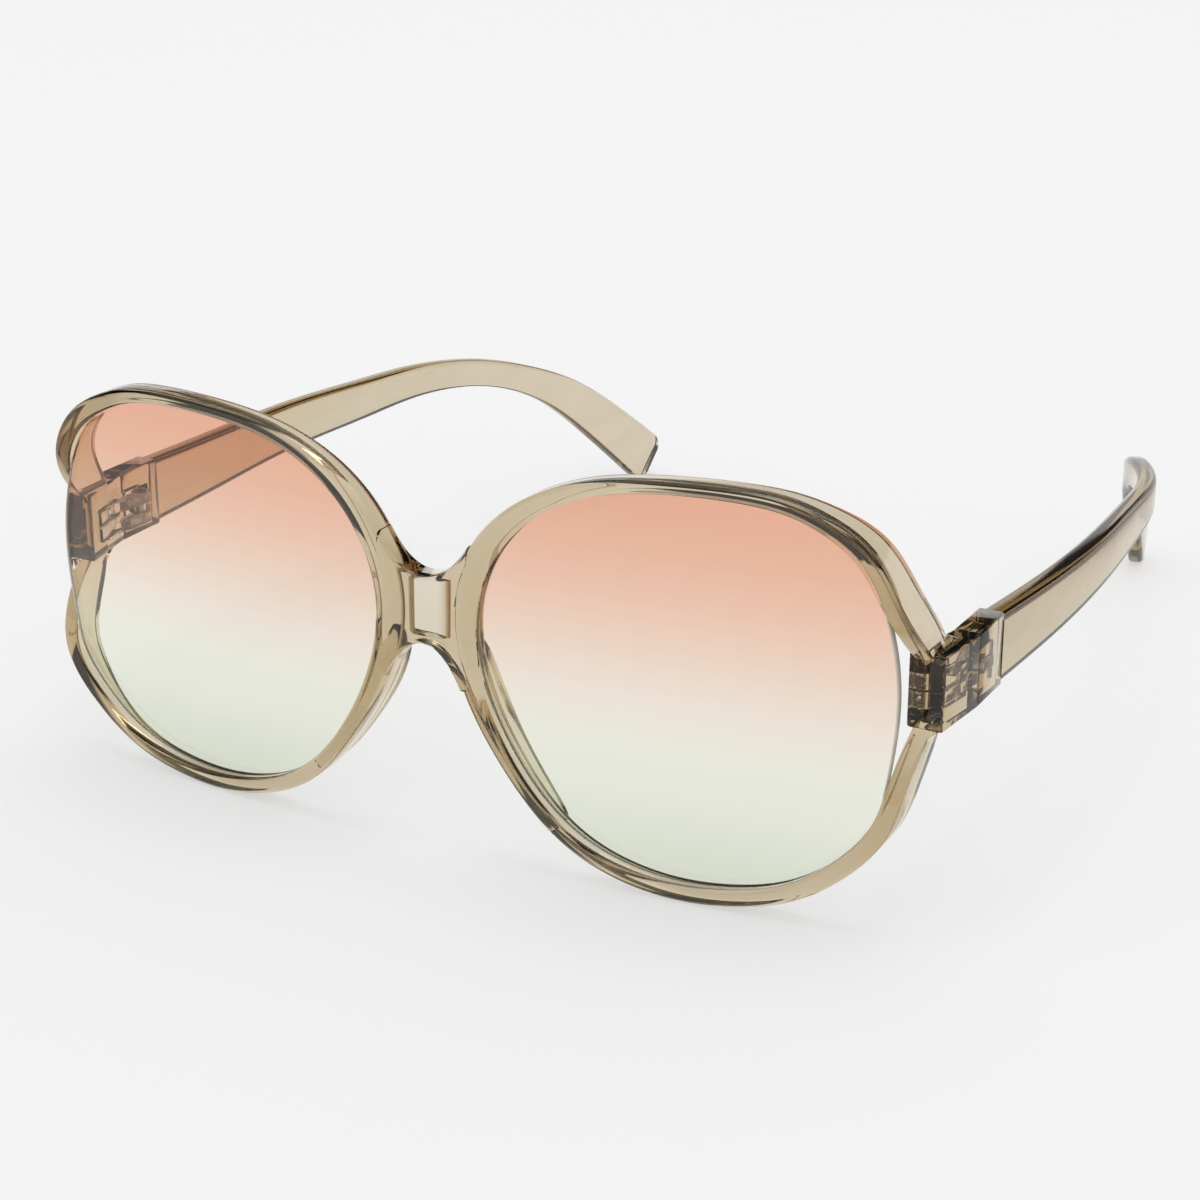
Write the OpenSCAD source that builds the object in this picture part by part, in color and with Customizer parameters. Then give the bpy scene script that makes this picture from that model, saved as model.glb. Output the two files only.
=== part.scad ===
// Round sunglasses with open-sided rims and folding temples, in millimetres.
// +Z is up, the lenses face -Y, the wearer's left side is +X, and the floor is z = 0.

/* [Lenses] */
// Width of one lens opening
lens_w = 58.9; // [46:0.1:64]
// Height of one lens opening
lens_h = 54.8; // [44:0.1:60]
// Thickness of a lens
lens_t = 1.5; // [1.2:0.1:2.4]
// Radius of the front surface that both lenses share
lens_r = 400; // [300:10:900]
// How far a lens edge reaches into its groove
lens_bead = 0.7; // [0.4:0.05:1]
// Play between a lens and its groove
lens_play = 0.05; // [0.02:0.01:0.1]

/* [Front frame] */
// Distance between the two lens openings
nose_gap = 14.8; // [12:0.1:20]
// Face width of a rim at its lowest point
rim_w = 2.5; // [2.2:0.1:3.5]
// Depth of a rim at its top, front to back
rim_d = 4.0; // [3.6:0.1:5]
// How far the rim stands in front of the lens
rim_lip = 1.5; // [0.8:0.1:1.6]
// Radius of the rims' edges
rim_edge = 0.75; // [0.3:0.05:0.9]
// How far the branches sweep back between the lens and the end piece
branch_back = 7.5; // [5:0.1:10]

/* [Bridge] */
// Height of the middle of the bridge above the rims' lowest point
bridge_low = 30.9; // [26:0.1:33]
// Height of the bridge at its middle
bridge_h = 10; // [7:0.1:12]
// Rise of the bridge's top edge towards the rims
bridge_rise = 5.1; // [3:0.1:6]
// Drop of the bridge's lower edge towards the rims
bridge_drop = 8.3; // [6:0.1:10]

/* [End pieces] */
// Distance between the outer faces of the end pieces at their fronts
front_w = 141.2; // [136:0.1:150]
// Height of an end piece
end_h = 10.6; // [9:0.1:12]
// Length of an end piece, front to back
end_l = 10; // [9:0.1:12]
// Thickness of an end piece at its front
end_t = 5.1; // [4.5:0.1:6]
// Height of the end pieces' middle above the floor
end_z = 32.8; // [30:0.1:36]
// How far the end pieces start behind the middle of the front
end_y = 11.4; // [10:0.1:13]
// Outward step of an end piece from its front to its back
end_splay = 0.9; // [0:0.1:2]
// Radius of the curves where the branches run into the end pieces
branch_fillet = 8; // [5:0.1:9]

/* [Hinges] */
// Slit between an end piece and its temple
hinge_slit = 0.25; // [0.15:0.05:0.5]
// Radius of the hinge knuckles
knuckle_r = 1.7; // [1.4:0.05:2]
// Height of one knuckle
knuckle_h = 1.5; // [1.2:0.05:1.8]
// Distance of the hinge axis behind the slit
axis_back = 3.5; // [3:0.1:4]
// Distance of the hinge axis inside the end piece's inner face
axis_in = 0.6; // [0.3:0.05:0.8]
// Radius of the hinge screw's shank
screw_r = 0.6; // [0.4:0.05:0.8]
// Running play round the screw and between the knuckles
hinge_play = 0.05; // [0.02:0.01:0.1]

/* [Temples] */
// Length of a temple block, slit to seam
block_l = 8.75; // [8:0.05:12]
// Thickness of a temple block
block_t = 3.8; // [3.6:0.1:4.4]
// Length of a temple along Y, seam to end
temple_l = 132.5; // [110:0.1:140]
// Height of a temple at the seam
temple_h = 9.8; // [8:0.1:10.2]
// Thickness of a temple at the seam
temple_t = 3.6; // [3:0.1:3.7]
// Thickness of a temple at its end
hook_t = 2.7; // [2.4:0.1:3]
// How far the ear hook comes down
hook_drop = 30.0; // [22:0.1:30]
// How far the ear hook comes inwards
hook_in = 20.0; // [10:0.1:24]
// Radius of the corners at the hook's end
tip_r = 2.2; // [1:0.1:3]

/* [Nose pads] */
// How far a nose pad stands behind its rim
pad_d = 2.6; // [1.5:0.1:4]
// Play between a nose pad and its rim
pad_play = 0.05; // [0.02:0.01:0.1]

/* [Hidden] */

// Steps of each round curve, rings in each span of an outline and along the bridge's half
// and a nose pad, and the overrun of cuts
$fn = 48;
rings_per_span = 5;
cross_rings = 14;
overrun = 0.5;

// How fast the bridge's edges curve away from its middle
bridge_power = 2.2;

// Row of rim_shares at the bridge
bridge_row = 10;

// Rows of rim_shares between which a nose pad runs, and its size at its ends as a share
pad_turns = [10.45, 13.3];
pad_end = 0.15;

// Opening outline from the temple side over the top: x and z as shares of the lens's
// half sizes, face width as a share of rim_w, sweep back as a share of branch_back,
// and depth as a share of rim_d
rim_shares = [
    [ 0.993, -0.160, 1.02, 0.65, 1.62],
    [ 1.010,  0.073, 1.05, 1.50, 0.50],
    [ 0.992,  0.310, 1.08, 0.72, 1.80],
    [ 0.931,  0.555, 1.10, 0.08, 1.80],
    [ 0.817,  0.781, 1.12, 0.00, 1.60],
    [ 0.618,  0.911, 0.96, 0.00, 1.28],
    [ 0.385,  0.985, 0.80, 0.00, 1.05],
    [-0.070,  0.985, 0.72, 0.00, 1.00],
    [-0.477,  0.898, 0.90, 0.00, 1.00],
    [-0.813,  0.646, 1.40, 0.00, 1.10],
    [-0.980,  0.252, 1.68, 0.00, 1.20],
    [-0.935, -0.150, 1.36, 0.00, 1.20],
    [-0.793, -0.478, 0.96, 0.00, 1.15],
    [-0.610, -0.734, 0.92, 0.00, 1.05],
    [-0.382, -0.909, 0.96, 0.00, 1.00],
    [-0.070, -1.000, 1.00, 0.00, 1.00],
    [ 0.253, -0.989, 1.00, 0.00, 1.00],
    [ 0.599, -0.880, 1.02, 0.00, 1.05],
    [ 0.888, -0.588, 1.04, 0.00, 1.50],
    [ 0.958, -0.385, 1.03, 0.16, 1.62]];

// Temple from its seam to its end: along as a share of temple_l, inwards as a share of
// hook_in, down as a share of hook_drop, height as a share of temple_h
temple_shares = [
    [0.000,  0.000, 0.000, 1.05],
    [0.149, -0.045, 0.016, 0.94],
    [0.301, -0.055, 0.015, 0.82],
    [0.453,  0.030, 0.034, 0.70],
    [0.567,  0.115, 0.041, 0.58],
    [0.666,  0.380, 0.075, 0.50],
    [0.757,  0.625, 0.220, 0.55],
    [0.856,  0.790, 0.485, 0.81],
    [1.000,  1.000, 1.000, 1.00]];

// Left end piece and temple block: the slit between them and their faces
end_outer = front_w / 2;
slit_y = end_y + end_l;
slit_outer = end_outer + end_splay;
slit_inner = slit_outer - block_t;
end_lean = (slit_inner - end_outer + end_t) / end_l;
block_y = slit_y + hinge_slit;
seam_y = block_y + block_l;
block_edge = end_h / 24;

// Rows of rim_shares at which the hollow curves leave a branch and reach the end piece's height
upper_web = [2.6, 1.9];
lower_web = [-0.8, 0.1];
web_rings = 10;

// Hinge axis, knuckle stack and what is cut for it
axis_x = slit_inner - axis_in;
axis_y = slit_y + axis_back;
knuckle_step = knuckle_h + 2 * hinge_play;
stack_h = 3 * knuckle_h + 4 * hinge_play;
stack_z = end_z - end_h / 20 - stack_h / 2;
bore_r = screw_r + hinge_play;
head_r = 2 * screw_r;
head_h = screw_r;
plate_l = 2 * knuckle_r;
plate_t = knuckle_r / 4;
plate_rim = knuckle_h / 4;
stem_t = knuckle_r;
pocket_room = knuckle_r / 4;
pocket_x = axis_x + knuckle_r + 2 * pocket_room;
pocket_near = axis_y - knuckle_r - 2 * pocket_room;
pocket_far = axis_y + knuckle_r + 3 * pocket_room;
tongue_bury = knuckle_r * 0.7;
tenon_l = block_l / 5;
tenon_t = temple_t / 2;
tenon_h = temple_h / 2;

// Point between four rows of a uniform cubic curve
function cubic(a, b, c, d, f) =
    (a * pow(1 - f, 3) + b * (3 * pow(f, 3) - 6 * f * f + 4)
     + c * (3 * f * f + 3 * f - 3 * pow(f, 3) + 1) + d * pow(f, 3)) / 6;

// Row of a closed table, and the same row pushed out so that the curve passes near it
function loop_row(rows, i) = rows[(i + len(rows)) % len(rows)];
function loop_knot(rows, i) =
    loop_row(rows, i) * 4 / 3 - (loop_row(rows, i - 1) + loop_row(rows, i + 1)) / 6;
function loop_at(rows, u) = let (i = floor(u), n = len(rows))
    cubic(loop_knot(rows, (i + n - 1) % n), loop_knot(rows, i % n), loop_knot(rows, (i + 1) % n),
          loop_knot(rows, (i + 2) % n), u - i);

// The same for an open table, carried on straight past its ends
function line_row(rows, i) = let (last = len(rows) - 1)
    i < 0 ? rows[0] + (rows[0] - rows[1]) * -i
    : i > last ? rows[last] + (rows[last] - rows[last - 1]) * (i - last) : rows[i];
function line_knot(rows, i) =
    line_row(rows, i) * 4 / 3 - (line_row(rows, i - 1) + line_row(rows, i + 1)) / 6;
function line_at(rows, u) = let (i = floor(u))
    cubic(line_knot(rows, i - 1), line_knot(rows, i), line_knot(rows, i + 1),
          line_knot(rows, i + 2), u - i);

function unit(v) = v / norm(v);

// Rounded rectangle between two corners, as points turning from the low to the high side
function rounded(low, high, r) = [
    for (corner = [[high, 0], [[low.x, high.y], 90], [low, 180], [[high.x, low.y], 270]],
         turn = [0, 45, 90])
        let (a = corner[1] + turn, inwards = [cos(corner[1] + 45), sin(corner[1] + 45)])
        corner[0] - inwards * r * sqrt(2) + [cos(a), sin(a)] * r];

// How far the shared lens surface lies behind its foremost point
function lens_face(x, z) = lens_r - sqrt(lens_r * lens_r - x * x - pow(z - surface_z, 2));

// Opening outline of the left eye, its outward direction and the rim's sizes there
function rim_row(u) = loop_at(rim_shares, (u + len(rim_shares)) % len(rim_shares));
function rim_shape(u) = let (row = rim_row(u)) [row[0] * lens_w / 2, row[1] * lens_h / 2];
function rim_point(u) = [eye_x, eye_z] + rim_shape(u);
function rim_out(u) = let (step = rim_shape(u + 1 / 16) - rim_shape(u - 1 / 16))
    unit([step.y, -step.x]);
function rim_face(u) = max(rim_row(u)[2] * rim_w, rim_row(u)[3] * branch_reach);
function rim_front(u) = rim_row(u)[3] * branch_back - rim_lip;
function rim_back(u) = rim_front(u) + rim_row(u)[4] * rim_d;

// Section point of the left eye: out from the opening and back from the lens surface
function eye_place(u, out, back) = let (p = rim_point(u), q = p + rim_out(u) * out)
    [q.x, lens_face(p.x, p.y) + back, q.y];

// Turns where the rings of an eye lie, the eye's centre with the rim on the floor, the least
// face width with which the branches reach the end piece, and the height at which the lens
// surface is furthest forward
eye_turns = [for (i = [0:len(rim_shares) * rings_per_span - 1]) i / rings_per_span];
eye_x = (nose_gap + lens_w) / 2;
branch_reach = end_outer - end_t * 0.32 - eye_x - lens_w / 2;
eye_z = -min([for (u = eye_turns) rim_shape(u).y + rim_out(u).y * rim_face(u)]);
surface_z = eye_z - lens_h / 20;

// Skin over rings of points; an open skin has a fan at each end
module skin(rings, closed = false) {
    count = len(rings);
    size = len(rings[0]);
    mean = function (ring) [for (p = ring) 1 / size] * ring;
    points = [for (ring = rings) each ring];
    sides = [for (i = [0:count - (closed ? 1 : 2)], j = [0:size - 1])
        let (a = i * size + j, b = i * size + (j + 1) % size,
             c = (i + 1) % count * size + (j + 1) % size, d = (i + 1) % count * size + j)
        each [[a, b, c], [a, c, d]]];
    fans = closed ? [] : [for (j = [0:size - 1]) each [
        [count * size, (j + 1) % size, j],
        [count * size + 1, (count - 1) * size + j, (count - 1) * size + (j + 1) % size]]];
    ends = closed ? [] : [mean(rings[0]), mean(rings[count - 1])];
    polyhedron(concat(points, ends), concat(sides, fans), convexity = 10);
}

// Moves the whole object so that the middle of its base is the origin
module placed(left = true) {
    translate([0, -middle_y, 0]) mirror([left ? 0 : 1, 0, 0]) children();
}

// Solids of the front frame, all for the left eye
module rim() {
    skin([for (u = eye_turns)
        [for (p = rounded([rim_front(u), 0], [rim_back(u), rim_face(u)], rim_edge))
            eye_place(u, p.y, p.x)]], closed = true);
}

module bridge() {
    half = nose_gap / 2 - rim_edge / 2;
    back = rim_d * rim_shares[bridge_row][4] - rim_lip - rim_edge;
    skin([for (i = [-cross_rings:cross_rings])
        let (x = half * i / cross_rings, share = pow(abs(i) / cross_rings, bridge_power),
             low = bridge_low - bridge_drop * share,
             high = bridge_low + bridge_h + bridge_rise * share)
        [for (p = rounded([low, -rim_lip], [high, back], rim_edge))
            [x, lens_face(x, end_z) + p.y, p.x]]]);
}

// Section of the end piece at a distance behind its front
function end_ring(back, inset) = let (inner = end_outer - end_t + end_lean * back,
        outer = end_outer + end_splay * back / end_l)
    [for (p = rounded([inner + inset, inset - end_h / 2], [outer - inset, end_h / 2 - inset],
                      block_edge))
        [p.x, end_y + back, end_z + p.y]];

// Hollow curve from a branch's back down to the top of the end piece
module branch_web(rows) {
    bend = function (t, a, b, c) a * pow(1 - t, 2) + b * 2 * t * (1 - t) + c * t * t;
    height = abs(rim_point(rows[0]).y - end_z);
    start = [for (row = rows) eye_place(row, 0, rim_back(row)).y - rim_edge / 2];
    inner = [for (row = rows) rim_point(row).x + rim_edge / 2];
    outer = [for (row = rows) rim_point(row).x + rim_face(row) - rim_edge / 2];
    rings = [for (i = [0:web_rings])
        let (t = i / web_rings, z = end_z + bend(t, height, end_h / 2, end_h / 2),
             low = bend(t, inner[0], inner[1],
                        end_outer - end_t + end_lean * branch_fillet + block_edge),
             high = bend(t, outer[0], outer[1], end_outer - block_edge),
             near = bend(t, start[0] - 2 * rim_edge, start[0] - 2 * rim_edge, end_y + block_edge),
             far = bend(t, start[0], start[1], end_y + branch_fillet))
        [[low, near, z], [high, near, z], [high, far, z], [low, far, z]]];
    skin(concat(rings, [[for (p = rings[web_rings]) p - [0, 0, block_edge]]]));
}

module end_piece() {
    skin([end_ring(0, block_edge), end_ring(block_edge, 0), end_ring(end_l, 0)]);
    branch_web(upper_web);
    translate([0, 0, 2 * end_z]) mirror([0, 0, 1]) branch_web(lower_web);
}

module front_half() {
    rim();
    end_piece();
}

module front_frame() {
    color("darkkhaki", 0.6) difference() {
        union() {
            placed() front_half();
            placed(false) front_half();
            placed() bridge();
        }
        for (left = [true, false]) placed(left) {
            lens_solid(lens_play);
            leaf_stem(hinge_play);
        }
    }
}

// Lens with its edge in the groove, and without a groove where the branches leave it
module lens_solid(play = 0) {
    inset_shares = [1 / 3, 2 / 3, 1];
    edge = [for (u = eye_turns)
        let (p = rim_point(u), hold = max(0, min(1, -rim_front(u) / rim_lip)))
        p + rim_out(u) * (hold * lens_bead + play)];
    layer = function (share, back) [for (p = edge)
        let (x = eye_x + (p.x - eye_x) * share, z = eye_z + (p.y - eye_z) * share)
        [x, lens_face(x, z) + back, z]];
    skin(concat([for (share = inset_shares) layer(share, -play)],
                [for (i = [2:-1:0]) layer(inset_shares[i], lens_t + play)]));
}

module lens(left) {
    color("lightsalmon", 0.6) placed(left) lens_solid();
}

// Nose pad along the nasal rim, deepest near its top and drawn in at both ends
module nose_pad(left) {
    color("tan", 0.6) placed(left) skin([for (i = [0:cross_rings])
        let (s = i / cross_rings, u = pad_turns[0] + (pad_turns[1] - pad_turns[0]) * s,
             full = pad_end + (1 - pad_end) * sqrt(1 - pow(abs(2 * s - 1), 3)),
             face = rim_face(u), middle = face / 2,
             near = rim_back(u) + pad_play,
             deep = near + pad_d * full * (1 - s / 3))
        [for (p = rounded([near, middle - face * full / 2 + pad_play],
                          [deep, middle + face * full / 2], (deep - near) / 2.5))
            eye_place(u, p.y, p.x)]]);
}

// Bored knuckle of the hinge, counted from the bottom
module knuckle(count) {
    translate([axis_x, axis_y, stack_z + count * knuckle_step]) cylinder(knuckle_h, r = knuckle_r);
}

module screw_bore() {
    translate([axis_x, axis_y, stack_z - overrun]) cylinder(stack_h + 2 * overrun, r = bore_r);
    translate([axis_x, axis_y, stack_z + stack_h - head_h - hinge_play])
        cylinder(head_h + overrun, r = head_r + hinge_play);
}

// Inner face of the end piece at a distance in front of the slit
function end_inner(ahead) = slit_inner - end_lean * ahead;

// Part of the front leaf that is buried in the end piece
module leaf_stem(play = 0) {
    far = plate_l + stem_t;
    near = stem_t;
    translate([0, 0, stack_z - play]) linear_extrude(stack_h + 2 * play)
        polygon([[end_inner(far) - overrun, slit_y - far - play],
                 [end_inner(far) + stem_t + play, slit_y - far - play],
                 [end_inner(near) + stem_t + play, slit_y - near + play],
                 [end_inner(near) - overrun, slit_y - near + play]]);
}

module front_hinge_leaf(left) {
    plate_far = plate_l + stem_t + plate_rim;
    color("khaki", 0.6) placed(left) difference() {
        union() {
            intersection() {
                leaf_stem();
                translate([0, 0, stack_z]) linear_extrude(stack_h)
                    polygon([[end_inner(plate_far) - plate_t, slit_y - plate_far],
                             [end_outer, slit_y - plate_far], [end_outer, slit_y],
                             [slit_inner - plate_t, slit_y]]);
            }
            translate([0, 0, stack_z - plate_rim]) linear_extrude(stack_h + 2 * plate_rim)
                polygon([[end_inner(plate_far) - plate_t, slit_y - plate_far],
                         [end_inner(plate_far) - hinge_play, slit_y - plate_far],
                         [end_inner(stem_t) - hinge_play, slit_y - stem_t],
                         [end_inner(stem_t) - plate_t, slit_y - stem_t]]);
            for (count = [0, 2]) {
                knuckle(count);
                translate([0, 0, stack_z + count * knuckle_step]) linear_extrude(knuckle_h)
                    polygon([[axis_x - knuckle_r, axis_y], [axis_x - knuckle_r, slit_y],
                             [end_inner(plate_l) - plate_t, slit_y - plate_l],
                             [end_inner(plate_l) - hinge_play, slit_y - plate_l],
                             [slit_inner - 2 * hinge_play, slit_y],
                             [slit_inner - 2 * hinge_play, axis_y]]);
            }
        }
        screw_bore();
    }
}

// Tongue that carries the middle knuckle in the temple block
module tongue(play = 0) {
    translate([axis_x, axis_y - knuckle_r / 2 - play, stack_z + knuckle_step - play])
        cube([pocket_x - axis_x + tongue_bury + play, 2 * knuckle_r + 2 * play,
              knuckle_h + 2 * play]);
}

module temple_hinge_leaf(left) {
    color("khaki", 0.6) placed(left) difference() {
        union() {
            knuckle(1);
            tongue();
        }
        screw_bore();
    }
}

module hinge_screw(left) {
    top = stack_z + stack_h;
    slot_w = head_r / 4;
    color("silver") placed(left) difference() {
        union() {
            translate([axis_x, axis_y, stack_z]) cylinder(stack_h - head_h / 2, r = screw_r);
            translate([axis_x, axis_y, top - head_h]) cylinder(head_h, r = head_r);
        }
        translate([axis_x - head_r - overrun, axis_y - slot_w / 2, top - head_h / 2])
            cube([2 * head_r + 2 * overrun, slot_w, head_h]);
    }
}

// Tenon of the temple, and with play the socket for it
module tenon(play = 0) {
    translate([slit_outer - temple_t / 2 - tenon_t / 2 - play, seam_y - tenon_l - play,
               end_z - tenon_h / 2 - play])
        cube([tenon_t + 2 * play, tenon_l + overrun + play, tenon_h + 2 * play]);
}

module temple_block(left) {
    color("darkkhaki", 0.6) placed(left) difference() {
        translate([0, seam_y, end_z]) rotate([90, 0, 0]) linear_extrude(block_l)
            polygon(rounded([slit_inner, -end_h / 2], [slit_outer, end_h / 2], block_edge));
        translate([slit_inner - overrun, pocket_near, stack_z - pocket_room])
            cube([pocket_x - slit_inner + overrun, pocket_far - pocket_near,
                  stack_h + 2 * pocket_room]);
        tongue(hinge_play);
        tenon(hinge_play);
    }
}

// Middle line and section of the left temple
function temple_row(u) = line_at(temple_shares, u);
function temple_point(u) = let (row = temple_row(u))
    [slit_outer - row[1] * hook_in, seam_y + row[0] * temple_l, end_z - row[2] * hook_drop];
function temple_ring(u, round_off) = let (
        along = unit(temple_point(u + 1 / 16) - temple_point(u - 1 / 16)),
        up = unit([0, 0, 1] - along * along.z), across = cross(along, up),
        half_t = (temple_t + (hook_t - temple_t) * temple_row(u)[0]) / 2,
        half_h = temple_row(u)[3] * temple_h / 2 - round_off,
        middle = temple_point(u) - across * half_t)
    [for (p = rounded([-half_t, -half_h], [half_t, half_h], half_t * 2 / 3))
        middle + across * p.x + up * p.y];
temple_end = len(temple_shares) - 1;
end_pace = norm(temple_point(temple_end) - temple_point(temple_end - 1));
temple_turns = concat(
    [for (i = [-1:temple_end * rings_per_span - 1]) [i / rings_per_span, 0]],
    [for (a = [15:15:90]) [temple_end - tip_r * (1 - sin(a)) / end_pace, tip_r * (1 - cos(a))]]);
temple_rings = [for (turn = temple_turns) temple_ring(turn[0], turn[1])];
back_y = max([for (ring = temple_rings) for (p = ring) p.y]);
middle_y = (back_y - rim_lip) / 2;

module temple(left) {
    color("darkkhaki", 0.6) placed(left) {
        difference() {
            skin(temple_rings);
            translate([0, seam_y - block_l, 0]) cube([front_w, block_l, 2 * end_z]);
        }
        tenon();
    }
}

front_frame();
lens(true);  // lens_left
lens(false);  // lens_right
nose_pad(true);  // nose_pad_left
nose_pad(false);  // nose_pad_right
front_hinge_leaf(true);  // front_hinge_leaf_left
front_hinge_leaf(false);  // front_hinge_leaf_right
temple_hinge_leaf(true);  // temple_hinge_leaf_left
temple_hinge_leaf(false);  // temple_hinge_leaf_right
hinge_screw(true);  // hinge_screw_left
hinge_screw(false);  // hinge_screw_right
temple_block(true);  // temple_block_left
temple_block(false);  // temple_block_right
temple(true);  // temple_left
temple(false);  // temple_right
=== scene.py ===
"""Round sunglasses with open-sided rims: the visible model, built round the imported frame.

Shapes are worked out in millimetres in the front's own coordinates, for the wearer's left
side (+X), and are moved to the row frame in metres when a piece is made.
"""
import math

import bpy
import bmesh
import numpy as np
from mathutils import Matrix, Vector


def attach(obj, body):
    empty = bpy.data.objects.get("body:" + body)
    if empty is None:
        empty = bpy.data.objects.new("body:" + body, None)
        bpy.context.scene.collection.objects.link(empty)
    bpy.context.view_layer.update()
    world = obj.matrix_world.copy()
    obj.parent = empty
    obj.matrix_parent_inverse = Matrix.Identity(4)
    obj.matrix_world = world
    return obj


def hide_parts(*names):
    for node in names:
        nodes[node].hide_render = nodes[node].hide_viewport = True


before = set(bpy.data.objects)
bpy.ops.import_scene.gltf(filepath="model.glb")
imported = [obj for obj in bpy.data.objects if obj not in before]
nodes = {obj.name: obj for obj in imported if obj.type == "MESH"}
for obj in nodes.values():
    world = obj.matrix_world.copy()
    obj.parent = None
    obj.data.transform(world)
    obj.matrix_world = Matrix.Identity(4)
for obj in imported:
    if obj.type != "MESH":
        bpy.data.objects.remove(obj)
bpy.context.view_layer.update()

MM = 0.001

# Sizes that the visible pieces share with the solids, in millimetres
LENS_W, LENS_H, LENS_T, LENS_R = 58.9, 54.8, 1.5, 400.0
NOSE_GAP, RIM_W, RIM_D, RIM_LIP, RIM_EDGE, BRANCH_BACK = 14.8, 2.5, 4.0, 1.5, 0.75, 7.5
BRIDGE_LOW, BRIDGE_H, BRIDGE_RISE, BRIDGE_DROP, BRIDGE_POWER = 30.9, 10.0, 5.1, 8.3, 2.2
FRONT_W, END_H, END_L, END_T, END_Z, END_Y = 141.2, 10.6, 10.0, 5.1, 32.8, 11.4
END_SPLAY, BRANCH_FILLET, UPPER_WEB, LOWER_WEB = 0.9, 8.0, (2.6, 1.9), (-0.8, 0.1)
HINGE_SLIT, KNUCKLE_R, KNUCKLE_H, AXIS_BACK, AXIS_IN = 0.25, 1.7, 1.5, 3.5, 0.6
SCREW_R, PLAY = 0.6, 0.05
BLOCK_L, BLOCK_T = 8.75, 3.8
TEMPLE_L, TEMPLE_H, TEMPLE_T, HOOK_T = 132.5, 9.8, 3.6, 2.7
HOOK_DROP, HOOK_IN, TIP_R = 30.0, 20.0, 2.2
PAD_D, PAD_TURNS, PAD_END = 2.6, (10.45, 13.3), 0.15

# How far behind the front's own origin the row frame has its own
MIDDLE_Y = 81.5632

# Opening outline from the temple side over the top: x and z as shares of the lens's half
# sizes, face width as a share of RIM_W, sweep back of BRANCH_BACK and depth of RIM_D
RIM_SHARES = np.array([
    [0.993, -0.160, 1.02, 0.65, 1.62],
    [1.010, 0.073, 1.05, 1.50, 0.50],
    [0.992, 0.310, 1.08, 0.72, 1.80],
    [0.931, 0.555, 1.10, 0.08, 1.80],
    [0.817, 0.781, 1.12, 0.00, 1.60],
    [0.618, 0.911, 0.96, 0.00, 1.28],
    [0.385, 0.985, 0.80, 0.00, 1.05],
    [-0.070, 0.985, 0.72, 0.00, 1.00],
    [-0.477, 0.898, 0.90, 0.00, 1.00],
    [-0.813, 0.646, 1.40, 0.00, 1.10],
    [-0.980, 0.252, 1.68, 0.00, 1.20],
    [-0.935, -0.150, 1.36, 0.00, 1.20],
    [-0.793, -0.478, 0.96, 0.00, 1.15],
    [-0.610, -0.734, 0.92, 0.00, 1.05],
    [-0.382, -0.909, 0.96, 0.00, 1.00],
    [-0.070, -1.000, 1.00, 0.00, 1.00],
    [0.253, -0.989, 1.00, 0.00, 1.00],
    [0.599, -0.880, 1.02, 0.00, 1.05],
    [0.888, -0.588, 1.04, 0.00, 1.50],
    [0.958, -0.385, 1.03, 0.16, 1.62]])
BRIDGE_ROW = 10

# Temple from its seam to its end: along as a share of TEMPLE_L, inwards of HOOK_IN, down of
# HOOK_DROP, and height of TEMPLE_H
TEMPLE_SHARES = np.array([
    [0.000, 0.000, 0.000, 1.05],
    [0.149, -0.045, 0.016, 0.94],
    [0.301, -0.055, 0.015, 0.82],
    [0.453, 0.030, 0.034, 0.70],
    [0.567, 0.115, 0.041, 0.58],
    [0.666, 0.380, 0.075, 0.50],
    [0.757, 0.625, 0.220, 0.55],
    [0.856, 0.790, 0.485, 0.81],
    [1.000, 1.000, 1.000, 1.00]])

# Places worked out from the sizes
EYE_X = (NOSE_GAP + LENS_W) / 2
END_OUTER = FRONT_W / 2
SLIT_Y = END_Y + END_L
SLIT_OUTER = END_OUTER + END_SPLAY
SLIT_INNER = SLIT_OUTER - BLOCK_T
END_LEAN = (SLIT_INNER - END_OUTER + END_T) / END_L
BLOCK_Y = SLIT_Y + HINGE_SLIT
SEAM_Y = BLOCK_Y + BLOCK_L
BLOCK_EDGE = END_H / 24
AXIS_X, AXIS_Y = SLIT_INNER - AXIS_IN, SLIT_Y + AXIS_BACK
KNUCKLE_STEP = KNUCKLE_H + 2 * PLAY
STACK_H = 3 * KNUCKLE_H + 4 * PLAY
STACK_Z = END_Z - END_H / 20 - STACK_H / 2
BORE_R = SCREW_R + PLAY
HEAD_R, HEAD_H = 2 * SCREW_R, SCREW_R
POCKET_ROOM = KNUCKLE_R / 4
POCKET_X = AXIS_X + KNUCKLE_R + 2 * POCKET_ROOM
POCKET_NEAR = AXIS_Y - KNUCKLE_R - 2 * POCKET_ROOM
POCKET_FAR = AXIS_Y + KNUCKLE_R + 3 * POCKET_ROOM
PLATE_L, PLATE_T, PLATE_RIM, STEM_T = 2 * KNUCKLE_R, KNUCKLE_R / 4, KNUCKLE_H / 4, KNUCKLE_R

# Tangs of the front leaf: height, corner radius, reach forwards, and start inside the leaf
TANG_H, TANG_R, TANG_FAR, TANG_ROOT = STACK_H * 0.46, 1.3, 7.6, 0.5

# How far a lens edge reaches into its groove
LENS_BEAD = 0.35

# Share of its drop at which the bridge's lower edge runs into the rims
BRIDGE_STOP = 0.7

# How far a blade's end lies in its block, so that no air shows between them
SEAM_OVER = 0.06

# Channel in the back of the bridge: its bottom behind the lens surface, its widths, and what
# it leaves of the saddle above and below
RECESS_Y, RECESS_W, RECESS_SIDE, RECESS_END = 0.7, 3.4, 3.0, 0.9

# Rounding of the rims as a share of their thinner side; where they are deeper than the first
# share of RIM_D, they lose half of it over the second
RIM_ROUND, DEEP_FROM, DEEP_OVER = 0.36, 1.25, 0.4

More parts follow.
